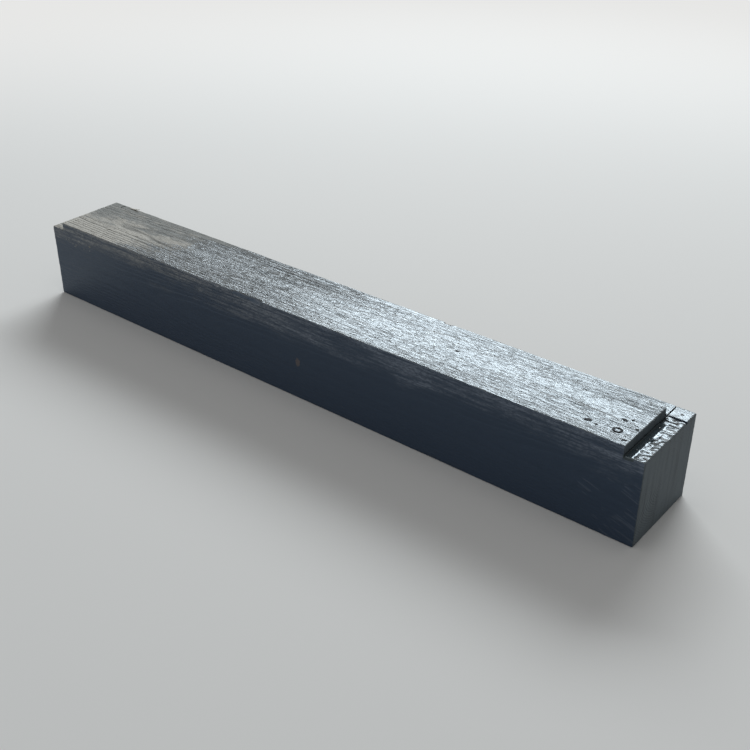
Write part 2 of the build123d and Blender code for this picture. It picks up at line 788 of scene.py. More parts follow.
    def wetness(self, points: Array) -> Array:
        """How wet with tar oil the surface is.

        Args:
            points: Places on the timber.

        Returns:
            From 0, dry, to 1, wet.
        """
        x, y, _ = points.T
        ragged = self.wet_ragged * self.noise.layered(*(points[:, :2] / self.wet_cells).T, 1.5)
        edge = x - self.wet_slant * y + ragged
        damp, soaked = smooth_step(*self.damp, edge), smooth_step(*self.soaked, edge)
        return np.maximum(self.damp_share * damp + (1 - self.damp_share) * soaked, self.puddled(points))

    def sunk(self, points: Array) -> Array:
        """How far the top and what stands just below it lie under the sharp timber.

        Args:
            points: Places on the timber.

        Returns:
            One depth for each point.
        """
        x, y, z = points.T
        beyond, above = x - self.lattice.riser_x, z - self.lattice.shoulder
        behind = y - self.lattice.riser_y
        corner = smooth_step(*self.corner_beyond, beyond) * smooth_step(0.0, self.corner_width, behind)
        open_grain = 1 - np.maximum(self.pool_fill * self.puddled(points), self.corner_fill * corner)
        dished = self.dish * smooth_step(*self.dish_beyond, beyond) * smooth_step(*self.dish_y, y)
        dished = dished * ((above < self.slack) & (beyond > -self.slack))
        depth = self.relief.rough_sawn(points) * open_grain + dished
        return depth * smooth_step(*self.relief_below, -above)

    def top_level(self, x: Array, y: Array) -> Array:
        """The height of the finished top over the underside, for things that lie on it.

        Args:
            x: Their places along the timber.
            y: Their places across it.

        Returns:
            One height for each.
        """
        raised = (np.abs(x) < self.lattice.riser_x) & (y < self.lattice.riser_y)
        top = np.where(raised, self.lattice.height, self.lattice.shoulder)
        return top - self.sunk(np.stack([x, y, top], axis=1))

    def front_level(self, x: Array, z: Array) -> Array:
        """How far the finished front stands out from the timber's middle plane at each place."""
        half = self.lattice.side
        return half - self.relief.smooth_sawn(np.stack([x, np.full(len(x), -half), z], axis=1))

    def worn_points(self, points: Array, looks: Array) -> Array:
        """The points of the finished surface.

        Args:
            points: The sharp points.
            looks: For each point, which ways the faces that meet there look.

        Returns:
            The points, worn and relieved.
        """
        cuts = (self.relief.crosscut(points), self.relief.smooth_sawn(points))
        halves = (self.lattice.end, self.lattice.side)
        worn = self.eased(points)
        worn[:, 2] -= self.split_away(points) + self.sunk(points)
        for axis, (depth, half) in enumerate(zip(cuts, halves)):
            place = points[:, axis]
            fade = smooth_step(half - self.relief_reach, half, np.abs(place))
            worn[:, axis] -= np.sign(place) * depth * fade
        for index, way in enumerate(Way):
            axis, sign = way.value
            if axis < len(cuts):
                inner = looks[:, index] & (np.abs(points[:, axis]) < halves[axis] - NEAR)
                worn[:, axis] -= sign * np.where(inner, self.riser_share * cuts[axis], 0.0)
        return worn

    def build(self, finish: Material) -> Object:
        """Builds the timber and its marks.

        Args:
            finish: The material of the timber.

        Returns:
            The finished piece.
        """
        points, faces, looks = self.lattice.build()
        worn = self.worn_points(points, looks)
        timber = mesh_object("sleeper_timber", (worn * MM).tolist(), faces, finish, self.crease)
        marks = {
            "rings": self.relief.rings.phase(worn),
            "wet": self.wetness(points),
            "filled": self.puddled(points),
            "worn": np.clip(np.linalg.norm(self.eased(points) - points, axis=1), 0.0, 1.0),
        }
        for name, values in marks.items():
            mark = timber.data.attributes.new(name, "FLOAT", "POINT")
            mark.data.foreach_set("value", values.astype(np.float32))
        return timber


@dataclass(frozen=True)
class TarBlob:
    """A blob of tar oil that has set on the timber: a low ragged dome, or a ring if it has burst."""

    x: float
    y: float
    length: float
    width: float
    height: float
    turn: float = 0.0
    hole: float = 0.0
    foot: float = 0.5
    ceiling: float = 199.96
    swell: float = 0.7
    ragged: float = 0.16
    ragged_reach: float = 2.0
    ragged_place: float = 9.0

    def profile(self, out: Array) -> Array:
        """The height over its rim.

        Args:
            out: Distances from the middle, as shares of the way to the rim.

        Returns:
            Shares of the full height.
        """
        if self.hole:
            part = np.clip((out - self.hole) / (1 - self.hole), 0, 1)
            return np.clip(np.sin(math.pi * part), 0, 1) ** self.swell
        return np.sqrt(np.clip(1 - out**2, 0, 1))

    def spread(self, out: Array, angle: Array) -> tuple[Array, Array]:
        """The places of points in plan.

        Args:
            out: Distances from the middle, as shares of the way to the rim.
            angle: Their directions.

        Returns:
            Their X and Y.
        """
        noise = SmoothNoise(int(self.x * 7 + self.y * 3))
        places = (self.ragged_reach * part + self.ragged_place for part in (np.cos(angle), np.sin(angle)))
        out = out * (1 + self.ragged * noise.at(*places, 0.5))
        along, across = self.length / 2 * out * np.cos(angle), self.width / 2 * out * np.sin(angle)
        lie = math.radians(self.turn)
        x = self.x + along * math.cos(lie) - across * math.sin(lie)
        y = self.y + along * math.sin(lie) + across * math.cos(lie)
        return x, y

    def mesh(self, ground: Ground, spokes: int = 30, hoops: int = 10) -> Mesh:
        """Builds the closed mesh.

        Args:
            ground: Gives the level of the timber at given places.
            spokes: How many points each hoop has.
            hoops: How many hoops there are over its width.

        Returns:
            The points and the faces.
        """
        shares = np.linspace(self.hole, 1, hoops + 1)[0 if self.hole else 1:]
        out = np.repeat(shares, spokes)
        angle = np.tile(np.linspace(0, 2 * math.pi, spokes, endpoint=False), len(shares))
        x, y = self.spread(out, angle)
        z = np.minimum(ground(x, y) + self.height * self.profile(out), self.ceiling)
        z[-spokes:] -= self.foot
        nearer = [(spoke, (spoke + 1) % spokes) for spoke in range(spokes)]
        rim = (len(shares) - 1) * spokes
        faces: list[tuple[int, ...]] = []
        for start in range(0, rim, spokes):
            faces += [(start + a, start + spokes + a, start + spokes + b, start + b) for a, b in nearer]
        if self.hole:
            z[:spokes] -= self.foot
            faces += [(rim + b, rim + a, a, b) for a, b in nearer]
            return np.stack([x, y, z], axis=1), faces
        level = ground(np.array([self.x]), np.array([self.y]))[0]
        crown = min(level + self.height, self.ceiling)
        ends = [(self.x, self.y, crown), (self.x, self.y, level - 2 * self.foot)]
        top = rim + spokes
        faces += [(top, a, b) for a, b in nearer] + [(rim + b, rim + a, top + 1) for a, b in nearer]
        return np.concatenate([np.stack([x, y, z], axis=1), ends]), faces


@dataclass(frozen=True)
class Sliver:
    """A torn-up sliver or a loose flake of wood: a thin tapering strip, curved along its length."""

    place: Triple
    length: float
    width: float
    thickness: float
    turn: float = 0.0
    lift: float = 0.0
    roll: float = 0.0
    ragged: float = 0.35
    lumps: int = 5
    taper: Span = (0.12, 0.80)
    least_width: float = 0.05

    def mesh(self, steps: int = 12) -> Mesh:
        """Builds the closed mesh.

        Args:
            steps: How many stretches there are along it.

        Returns:
            The points and the faces.
        """
        share = np.linspace(0, 1, steps + 1)
        noise = SmoothNoise(int(abs(self.place[0])))
        start, run = self.taper
        half = self.width / 2 * np.clip(np.sin(math.pi * (start + run * share)), self.least_width, 1)
        half = half * (1 + self.ragged * noise.at(share * self.lumps, 0.5, 0.5))
        along = (share - 0.5) * self.length
        rise = self.lift * share**2
        section = [(-1, 0), (1, 0), (1, 1), (-1, 1)]
        points = np.array([(a, side * h, r + up * self.thickness)
                           for a, h, r in zip(along, half, rise) for side, up in section])
        spin = Euler((math.radians(self.roll), 0, math.radians(self.turn))).to_matrix()
        points = points @ np.array(spin).T + np.array(self.place)
        faces: list[tuple[int, ...]] = [(3, 2, 1, 0), tuple(4 * steps + k for k in range(4))]
        for step in range(steps):
            near, far = 4 * step, 4 * step + 4
            faces += [(near + k, near + (k + 1) % 4, far + (k + 1) % 4, far + k) for k in range(4)]
        return points, faces


@dataclass
class LooseBits:
    """The small things on the timber: set tar oil, flakes of wood and a lifted sliver."""

    body: SleeperBody
    spots: tuple[TarBlob, ...] = (
        TarBlob(670.0, -65.0, 16.0, 10.0, 0.9, 20.0),
        TarBlob(688.0, -69.0, 8.0, 5.0, 0.7),
        TarBlob(721.0, -26.0, 15.0, 8.0, 0.9, -12.0),
        TarBlob(733.0, -18.0, 9.0, 5.0, 0.7),
        TarBlob(753.0, -42.0, 9.0, 6.0, 0.6),
        TarBlob(750.0, -84.0, 11.0, 7.0, 0.6, 30.0),
        TarBlob(353.0, -13.0, 12.0, 6.0, 0.5, 8.0),
    )
    blister: TarBlob = TarBlob(726.0, -62.0, 21.0, 18.0, 1.2, 10.0, 0.42)
    beads: tuple[TarBlob, ...] = (
        TarBlob(768.0, 16.0, 5.0, 4.4, 1.3),
        TarBlob(771.0, -28.0, 3.4, 3.0, 0.9),
        TarBlob(769.0, -71.0, 4.0, 3.2, 1.0),
        TarBlob(782.0, 78.0, 6.5, 5.0, 1.3),
    )
    slivers: tuple[Sliver, ...] = (
        Sliver((-642.0, -53.0, 198.9), 9.0, 3.4, 0.7, 25.0, 0.3),
        Sliver((-722.0, 95.0, 180.8), 34.0, 4.4, 0.8, 3.0, 4.5),
    )
    flake: Sliver = Sliver((-661.0, -99.62, 163.0), 7.0, 2.6, 0.35, 0.0, 0.0, 90.0)
    bubbles: int = 26
    bubble_x: Span = (-775.0, -625.0)
    bubble_z: Span = (148.0, 188.0)
    bubble_size: Span = (3.0, 6.5)
    bubble_width: float = 0.8
    bubble_height: float = 0.22
    bubble_foot: float = 0.3
    bubble_ceiling: float = 99.95
    bubble_seed: int = 7
    # Pale bluish grey for the tar bubbles: a painted highlight on their glossy tar.
    bubble_highlight_grey: Colour = (0.120, 0.132, 0.146, 1.0)
    crease: float = 50.0

    def front_bubbles(self) -> list[Mesh]:
        """Small bubbles of tar oil that set on the front, near its left end.

        Returns:
            Their meshes.
        """
        chance = np.random.default_rng(self.bubble_seed)
        meshes = []
        for _ in range(self.bubbles):
            x, z, size = (chance.uniform(*span) for span in (self.bubble_x, self.bubble_z, self.bubble_size))
            blob = TarBlob(x, z, size, self.bubble_width * size, self.bubble_height * size,
                           foot=self.bubble_foot, ceiling=self.bubble_ceiling)
            points, faces = blob.mesh(self.body.front_level, spokes=12, hoops=4)
            meshes.append((np.stack([points[:, 0], -points[:, 2], points[:, 1]], axis=1), faces))
        return meshes

    def gather(self, name: str, meshes: list[Mesh], finish: Material) -> Object:
        """Joins closed meshes into one piece.

        Args:
            name: The piece's name.
            meshes: Pairs of points and faces, in millimetres.
            finish: The material.

        Returns:
            The piece.
        """
        points: list = []
        faces: list = []
        for some_points, some_faces in meshes:
            faces += [tuple(number + len(points) for number in face) for face in some_faces]
            points += (some_points * MM).tolist()
        return mesh_object(name, points, faces, finish, self.crease)

    def build(self) -> list[Object]:
        """Builds all of them.

        Returns:
            The pieces.
        """
        ground = self.body.top_level
        dull = TarFinish("dull_tar", roughness=0.62, gleam_level=0.12).material()
        bare_wood = BareWoodFinish().material()
        glossy = TarFinish("glossy_tar", roughness=0.16, gleam_level=0.5).material()
        # The bubbles' pale grey finish is a painted highlight, not dust.
        bubble_highlight = TarFinish("bubble_highlight_tar", roughness=0.38, gleam_level=0.5, colour=self.bubble_highlight_grey).material()
        return [
            self.gather("tar_spots", [spot.mesh(ground) for spot in self.spots], dull),
            self.gather("tar_blister", [self.blister.mesh(ground, spokes=48, hoops=12)], dull),
            self.gather("tar_beads", [bead.mesh(ground, spokes=20, hoops=6) for bead in self.beads], glossy),
            self.gather("torn_slivers", [sliver.mesh() for sliver in self.slivers], bare_wood),
            self.gather("front_bubbles", self.front_bubbles(), bubble_highlight),
            self.gather("front_flake", [self.flake.mesh(steps=4)], bare_wood),
        ]


@dataclass(frozen=True)
class Pattern:
    """A noise: its cells to the metre along X, Y and Z, its finer copies, and how strong they are."""

    cells: Triple
    detail: float = 3.0
    strength: float = 0.6


@dataclass
class NodeBench:
    """The nodes of a material or a world, laid out by short calls that return the socket to read."""

    owner: Material | bpy.types.World
    shader_kind: str = "BsdfPrincipled"
    output_kind: str = "OutputMaterial"

    def __post_init__(self) -> None:
        """Empties the owner's node tree and adds its shader and output."""
        self.owner.use_nodes = True
        self.tree = self.owner.node_tree
        self.tree.nodes.clear()
        self.shader = self.node(self.shader_kind)
        self.output = self.node(self.output_kind, self.shader.outputs[0])

    def feed(self, socket: Socket, value: object) -> None:
        """Links a socket to the value, or sets it where the value is plain.

        Args:
            socket: The socket to fill.
            value: Another node's output, a number, or a tuple of numbers.
        """
        if isinstance(value, Socket):
            self.tree.links.new(value, socket)
        else:
            socket.default_value = value

    def node(self, kind: str, *values: object, **named: object) -> bpy.types.Node:
        """Adds a node.

        Args:
            kind: The node's type, without its prefix.
            values: What its first inputs get.
            named: What its settings get, which begin with a small letter, or its inputs by their names.

        Returns:
            The node.
        """
        node = self.tree.nodes.new("ShaderNode" + kind)
        for name, value in named.items():
            if name[0].isupper():
                self.feed(node.inputs[name], value)
            else:
                setattr(node, name, value)
        for socket, value in zip(node.inputs, values):
            self.feed(socket, value)
        return node

    def shade(self, **values: object) -> None:
        """Fills the shader's inputs by their names, with _ for a space."""
        for name, value in values.items():
            self.feed(self.shader.inputs[name.replace("_", " ")], value)

    def overlay(self, kind: str, colour: Colour, share: Socket) -> None:
        """Lays another shader over the first.

        Args:
            kind: The other shader's type, without its prefix.
            colour: Its colour.
            share: How much of it shows.
        """
        other = self.node(kind, colour)
        mixed = self.node("MixShader", share, self.shader.outputs[0], other.outputs[0])
        self.feed(self.output.inputs[0], mixed.outputs[0])

    def seen(self) -> Socket:
        """Whether a ray comes from the camera, straight or by way of gloss or glass.

        Returns:
            0 or 1.
        """
        rays = self.node("LightPath").outputs
        mirrored = self.math("MAXIMUM", rays["Is Camera Ray"], rays["Is Glossy Ray"])
        return self.math("MAXIMUM", mirrored, rays["Is Transmission Ray"])

    def attribute(self, name: str) -> Socket:
        """The value of a mark that the mesh carries."""
        return self.node("Attribute", attribute_name=name).outputs["Fac"]

    def place(self) -> Socket:
        """The place on the piece, in metres."""
        return self.node("TexCoord").outputs["Object"]

    def parts(self, vector: Socket) -> tuple[Socket, ...]:
        """The X, Y and Z of a vector."""
        return tuple(self.node("SeparateXYZ", vector).outputs)

    def vector(self, operation: str, *values: object, result: str = "Vector") -> Socket:
        """An operation on vectors, by its name in Blender."""
        return self.node("VectorMath", *values, operation=operation).outputs[result]

    def math(self, operation: str, *values: object) -> Socket:
        """An operation on numbers, by its name in Blender."""
        return self.node("Math", *values, operation=operation).outputs[0]

    def product(self, *values: Socket) -> Socket:
        """The values multiplied together."""
        return reduce(lambda result, value: self.math("MULTIPLY", result, value), values)

    def total(self, *terms: tuple[float, Socket]) -> Socket:
        """The sum of pairs of a weight and a value, each multiplied together."""
        return reduce(lambda result, term: self.sloped(term[1], term[0], result), terms, 0.0)

    def sloped(self, value: Socket, slope: float, base: object) -> Socket:
        """The base, and the value times the slope on top of it."""
        return self.math("MULTIPLY_ADD", value, slope, base)

    def between(self, share: Socket, first: object, second: object) -> Socket:
        """A number between two others."""
        return self.math("MULTIPLY_ADD", self.math("SUBTRACT", second, first), share, first)

    def step(self, value: Socket, low: float, high: float, start: float = 0.0, stop: float = 1.0) -> Socket:
        """A soft step, from start where the value is low to stop where it is high."""
        ends = (value, low, high, start, stop)
        return self.node("MapRange", *ends, interpolation_type="SMOOTHSTEP").outputs["Result"]

    def noise(self, place: Socket, pattern: Pattern) -> Socket:
        """Smooth noise from 0 to 1.

        Args:
            place: Where it is read.
            pattern: Its size and detail.

        Returns:
            The noise.
        """
        cells = self.vector("MULTIPLY", place, pattern.cells)
        return self.node("TexNoise", Vector=cells, Scale=1.0, Detail=pattern.detail,
                         Roughness=pattern.strength).outputs["Fac"]

    def blend(self, share: Socket, first: object, second: object) -> Socket:
        """A mix of two colours.

        Args:
            share: How much of the second there is.
            first: The first colour.
            second: The second colour.

        Returns:
            The mixed colour.
        """
        node = self.node("Mix", share, data_type="RGBA")
        colours = [socket for socket in node.inputs if socket.type == "RGBA"]
        for socket, value in zip(colours, (first, second)):
            self.feed(socket, value)
        return next(socket for socket in node.outputs if socket.type == "RGBA")

    def bump(self, height: Socket) -> Socket:
        """The way that the surface looks once it has a relief of this height, in metres."""
        return self.node("Bump", Distance=1.0, Height=height).outputs["Normal"]


@dataclass
class TimberBench(NodeBench):
    """The timber's nodes, with what several parts of its finish read at each spot."""

    fibre_pattern: Pattern = Pattern((26.0, 420.0, 420.0))
    mottle_pattern: Pattern = Pattern((110.0, 270.0, 270.0), 3.0, 0.62)
    pebble_pattern: Pattern = Pattern((40.0, 50.0, 50.0), 1.0, 0.5)
    pore_pattern: Pattern = Pattern((62.0, 310.0, 310.0), 2.0)
    groove_pattern: Pattern = Pattern((3.7, 7.0, 1.0), 1.0, 0.5)
    level: Span = (0.45, 0.8)
    facing: Span = (0.0, -0.5)
    pore_edge: Span = (0.54, 0.64)
    groove_side: Span = (0.20, 0.05)
    groove_run: Span = (0.40, 0.62)
    film_weights: Weights = (1.0, 0.9, 0.45, 0.65)
    film_edge: Span = (1.24, 1.38)

    def __post_init__(self) -> None:
        """Reads the place, the ways that the surface looks, the mesh's marks and the wood's patterns."""
        super().__post_init__()
        self.spot = self.place()
        self.along, self.across, self.height = self.parts(self.spot)
        look_x, look_y, look_z = self.parts(self.node("NewGeometry").outputs["Normal"])
        self.up = self.step(look_z, *self.level)
        self.on_end = self.step(self.math("ABSOLUTE", look_x), *self.level)
        self.on_front = self.step(look_y, *self.facing)
        self.rings, self.wet = self.attribute("rings"), self.attribute("wet")
        self.filled, self.worn = self.attribute("filled"), self.attribute("worn")
        self.fibre = self.noise(self.spot, self.fibre_pattern)
        self.mottle = self.noise(self.spot, self.mottle_pattern)
        self.pebble = self.noise(self.spot, self.pebble_pattern)
        pores = self.step(self.noise(self.spot, self.pore_pattern), *self.pore_edge)
        self.pores = self.product(pores, self.up)
        self.groove = self._groove()
        self.dry = self.math("SUBTRACT", 1.0, self._film())

    def _groove(self) -> Socket:
        """The sunken lines between the rings, where the tar oil stays. Some show and others hardly do.

        Returns:
            0 beside the lines and up to 1 on them.
        """
        line = self.math("ROUND", self.rings)
        aside = self.math("ABSOLUTE", self.math("SUBTRACT", self.rings, line))
        run = self.noise(self.node("CombineXYZ", line, self.along).outputs[0], self.groove_pattern)
        return self.product(self.step(aside, *self.groove_side), self.step(run, *self.groove_run))

    def _film(self) -> Socket:
        """The film of tar oil, from 0 to 1, broken into small patches where the wet part gives out."""
        patches = zip(self.film_weights, (self.wet, self.mottle, self.pebble, self.fibre))
        return self.step(self.total(*patches), *self.film_edge)


@dataclass(frozen=True)
class TimberFinish:
    """Sawn softwood soaked with tar oil: wet and near black, with a drier, dustier end.

    A span is where something begins and ends, in metres or as levels of a pattern. A slope goes with
    its base, and a ramp is a span with the values at its two ends. Weights stand in the order of what
    they weigh.
    """

    tar: Colour = (0.010, 0.011, 0.013, 1.0)
    # Near black tar, tinted navy on the front only as a painted reflection of blue sky.
    front_tar_painted_sky: Colour = (0.006, 0.018, 0.044, 1.0)
    back_tar: Colour = (0.009, 0.0120, 0.0165, 1.0)
    side_brown: Colour = (0.185, 0.184, 0.184, 1.0)
    side_blue: Colour = (0.124, 0.146, 0.190, 1.0)
    # Lighter and bluer than the tar: painted sky light falling on the ends.
    end_tar_painted_skylight: Colour = (0.048, 0.060, 0.068, 1.0)
    early_wood: Colour = (0.062, 0.058, 0.052, 1.0)
    dust: Colour = (0.345, 0.314, 0.268, 1.0)
    dull_dust: Colour = (0.165, 0.157, 0.140, 1.0)
    rub: Colour = (0.300, 0.295, 0.285, 1.0)
    puddle: Colour = (0.024, 0.034, 0.039, 1.0)
    knot: Colour = (0.082, 0.063, 0.062, 1.0)
    gleam: Colour = (0.80, 0.93, 1.0, 1.0)
    gleam_level: float = 0.72
    broad_pattern: Pattern = Pattern((6.0, 24.0, 24.0))
    patch_pattern: Pattern = Pattern((24.0, 85.0, 85.0), 4.0, 0.65)
    cloud_pattern: Pattern = Pattern((7.0, 26.0, 26.0), 4.0)
    streak_pattern: Pattern = Pattern((9.0, 150.0, 150.0), 4.0, 0.62)
    speck_pattern: Pattern = Pattern((110.0, 260.0, 260.0), 3.0, 0.65)
    runs_pattern: Pattern = Pattern((10.0, 95.0, 6.0), 3.0, 0.55)
    tooth_pattern: Pattern = Pattern((14.0, 14.0, 190.0), 2.0, 0.5)
    tooth_patches: Pattern = Pattern((16.0, 16.0, 22.0), 2.0, 0.5)
    tooth_slant: float = -18.0
    tooth_start: Span = (0.88, 1.02)
    knot_pattern: Pattern = Pattern((190.0, 190.0, 190.0))
    knot_place: Triple = (0.010, -0.100, 0.088)
    knot_cells: Triple = (150.0, 300.0, 95.0)
    knot_edge: Span = (1.75, 1.45)
    late_rise: Span = (0.12, 0.72)
    late_fall: Span = (1.0, 0.84)
    below_field: Span = (0.190, 0.183)
    off_ledge: Span = (0.062, 0.057)
    grey_band: Span = (0.215, 0.275)
    blue_run: Span = (-0.55, 0.25)
    rub_wear: Span = (0.30, 0.85)
    rub_height: Span = (0.150, 0.178)
    rub_dry: Slope = (0.80, 0.15)
    pool_edge: Span = (0.0, 0.45)
    dust_weights: Weights = (1.0, 0.45)
    dust_edge: Span = (0.62, 0.25)
    dust_fibre: Ramp = (0.26, 0.46, 0.45, 1.0)
    dust_groove: Slope = (-0.55, 1.0)
    dull_weights: Weights = (0.6, 0.5, 1.3)
    dull_edge: Span = (0.48, 0.64)
    fibre_edge: Span = (0.35, 0.6)
    cloud_weight: float = 0.16
    streak_ramp: Ramp = (0.38, 0.62, 0.12, 1.0)
    speck_ramp: Ramp = (0.36, 0.60, 0.35, 1.25)
    tooth_ramp: Ramp = (0.50, 0.62, 0.0, 0.24)
    tooth_ragged: float = 0.5
    knot_ragged: float = 1.4
    runs_ramp: Ramp = (0.42, 0.72, 0.0, 0.6)
    end_weights: Weights = (0.35, 1.0)
    broken_weights: Weights = (1.0, 0.3)
    top_weights: Weights = (0.58, 0.12, 0.13)
    top_roughness: float = 0.15
    side_roughness: Slope = (0.14, 0.42)
    end_roughness: float = 0.66
    pool_roughness: float = 0.15
    relief_up: Slope = (0.70, 0.30)
    relief_low: Slope = (-0.60, 1.0)
    relief_wet: Slope = (-1.40, 2.40)
    relief_filled: Slope = (-0.95, 1.0)
    late_height: float = 0.00042
    fibre_height: float = 0.00045
    mottle_height: float = 0.00060
    pore_depth: float = 0.00032
    groove_depth: float = 0.00018
    mean_height: float = 0.00072
    pebble_height: float = 0.0098
    tooth_height: float = 0.00030

    def material(self) -> Material:
        """Makes the material.

        Returns:
            The material, which reads the marks rings, wet, filled and worn of its mesh.
        """
        bench = TimberBench(bpy.data.materials.new("tarred_timber"))
        teeth = self._tooth_marks(bench)
        colour = bench.blend(bench.up, self._side_colour(bench, teeth), self._top_colour(bench))
        colour = bench.blend(bench.on_end, colour, self._end_colour(bench))
        colour = bench.blend(bench.step(bench.filled, *self.pool_edge), colour, self.puddle)
        rubbed = bench.product(bench.step(bench.worn, *self.rub_wear),
                               bench.step(bench.height, *self.rub_height),
                               bench.sloped(bench.dry, *self.rub_dry))
        colour = bench.blend(rubbed, colour, self.rub)
        bench.shade(Base_Color=colour, Roughness=self._roughness(bench), IOR=REFRACTION,
                    Specular_IOR_Level=self.gleam_level, Specular_Tint=self.gleam,
                    Normal=bench.bump(self._relief(bench, teeth)))
        return bench.owner

    def _relief(self, bench: TimberBench, teeth: Socket) -> Socket:
        """The fine relief all over, weaker on the sides and under a thick film of tar oil.

        Args:
            bench: The timber's nodes.
            teeth: The marks of the saw's teeth.

        Returns:
            The relief, in metres.
        """
        ring = bench.math("FRACT", bench.rings)
        late = bench.product(bench.step(ring, *self.late_rise), bench.step(ring, *self.late_fall))
        low = bench.product(bench.up, bench.step(bench.height, *self.below_field))
        shoulder = bench.product(low, bench.step(bench.across, *self.off_ledge))
        grain = bench.total((self.late_height, late), (self.fibre_height, bench.fibre),
                            (self.mottle_height, bench.mottle), (-self.pore_depth, bench.pores),
                            (-self.groove_depth, bench.groove))
        grain = bench.math("SUBTRACT", grain, self.mean_height)
        grain = bench.product(grain, bench.sloped(bench.up, *self.relief_up),
                              bench.sloped(low, *self.relief_low), bench.sloped(bench.wet, *self.relief_wet))
        pebbles = bench.product(shoulder, bench.math("SUBTRACT", bench.pebble, 0.5))
        grain = bench.sloped(pebbles, self.pebble_height, grain)
        grain = bench.sloped(teeth, self.tooth_height, grain)
        return bench.product(grain, bench.sloped(bench.filled, *self.relief_filled))

    def _top_colour(self, bench: TimberBench) -> Socket:
        """The colour of the open grain on top, with dust lying where it is dry.

        Args:
            bench: The timber's nodes.

        Returns:
            The colour.
        """
        broad, patch = (bench.noise(bench.spot, each) for each in (self.broad_pattern, self.patch_pattern))
        wood = bench.blend(bench.step(bench.fibre, *self.fibre_edge), self.early_wood, self.tar)
        dulled = bench.total(*zip(self.dull_weights, (broad, patch, bench.across)))
        dust = bench.blend(bench.step(dulled, *self.dull_edge), self.dust, self.dull_dust)
        edge = bench.total(*zip(self.dust_weights, (bench.wet, bench.mottle)))
        lying = bench.product(bench.dry, bench.step(edge, *self.dust_edge),
                              bench.sloped(bench.groove, *self.dust_groove),
                              bench.step(bench.fibre, *self.dust_fibre))
        return bench.blend(lying, wood, dust)

    def _side_colour(self, bench: TimberBench, teeth: Socket) -> Socket:
        """The colour of the sides: near black, painted navy on the front as a reflection of blue sky, and
        greyer in a ragged band under the top arris.

        Args:
            bench: The timber's nodes.
            teeth: The marks of the saw's teeth.

        Returns:
            The colour.
        """
        patterns = (self.cloud_pattern, self.streak_pattern, self.speck_pattern)
        cloud, streak, speck = (bench.noise(bench.spot, each) for each in patterns)
        band = bench.step(bench.total((1.0, bench.height), (self.cloud_weight, cloud)), *self.grey_band)
        share = bench.product(band, bench.step(streak, *self.streak_ramp),
                              bench.step(speck, *self.speck_ramp))
        # Painted reflection: the front gets the navy sky tint, the back keeps the plain tar.
        tar = bench.blend(bench.on_front, self.back_tar, self.front_tar_painted_sky)
        blue = bench.product(bench.step(bench.along, *self.blue_run), bench.on_front)
        colour = bench.blend(share, tar, bench.blend(blue, self.side_brown, self.side_blue))
        colour = bench.blend(self._bare_knot(bench), colour, self.knot)
        return bench.blend(bench.step(teeth, *self.tooth_ramp), colour, self.side_blue)

    def _bare_knot(self, bench: TimberBench) -> Socket:
        """Where a small knot on the front has shed its tar oil.

        Args:
            bench: The timber's nodes.

        Returns:
            0 off the knot and 1 on it.
        """
        ragged = bench.noise(bench.spot, self.knot_pattern)
        away = bench.vector("SUBTRACT", bench.spot, self.knot_place)
        reach = bench.vector("LENGTH", bench.vector("MULTIPLY", away, self.knot_cells), result="Value")
        return bench.step(bench.total((1.0, reach), (self.knot_ragged, ragged)), *self.knot_edge)

    def _tooth_marks(self, bench: TimberBench) -> Socket:
        """The slanting marks that the saw's teeth left on the front, near its right end.

        Args:
            bench: The timber's nodes.

        Returns:
            Their relief, from 0 to 1.
        """
        slanted = bench.node("VectorRotate", rotation_type="Y_AXIS", Vector=bench.spot,
                             Angle=math.radians(self.tooth_slant))
        marks = bench.noise(slanted.outputs["Vector"], self.tooth_pattern)
        patch = bench.noise(bench.spot, self.tooth_patches)
        start = bench.total((1.0, bench.along), (self.tooth_ragged, patch))
        return bench.product(marks, bench.step(start, *self.tooth_start), bench.on_front)

    def _end_colour(self, bench: TimberBench) -> Socket:
        """The colour of the ends: grey with painted sky light over the tar, with faint rings and runs of tar
        oil down them.
        """
        runs = bench.step(bench.noise(bench.spot, self.runs_pattern), *self.runs_ramp)
        return bench.blend(bench.total(*zip(self.end_weights, (bench.groove, runs))), self.end_tar_painted_skylight, self.tar)

    def _roughness(self, bench: TimberBench) -> Socket:
        """The roughness all over.

        Args:
            bench: The timber's nodes.

        Returns:
            The roughness.
        """
        broken = bench.total(*zip(self.broken_weights, (bench.pores, bench.groove)))
        top = bench.total(*zip(self.top_weights, (bench.dry, bench.mottle, broken)))
        side = bench.sloped(bench.mottle, *self.side_roughness)
        rough = bench.between(bench.up, side, bench.math("ADD", top, self.top_roughness))
        rough = bench.between(bench.on_end, rough, self.end_roughness)
        return bench.between(bench.filled, rough, self.pool_roughness)


@dataclass(frozen=True)
class TarFinish:
    """Tar oil that has set, with the roughness and the level of highlights that it has."""

    name: str
    roughness: float
    gleam_level: float
    colour: Colour = (0.008, 0.0085, 0.010, 1.0)
    ripple: Pattern = Pattern((320.0, 320.0, 320.0), 2.0, 0.5)
    ripple_height: float = 0.00012

    def material(self) -> Material:
        """Makes the material.

        Returns:
            The material.
        """
        bench = NodeBench(bpy.data.materials.new(self.name))
        relief = bench.math("MULTIPLY", bench.noise(bench.place(), self.ripple), self.ripple_height)
        bench.shade(Base_Color=self.colour, Roughness=self.roughness, IOR=REFRACTION,
                    Specular_IOR_Level=self.gleam_level, Normal=bench.bump(relief))
        return bench.owner


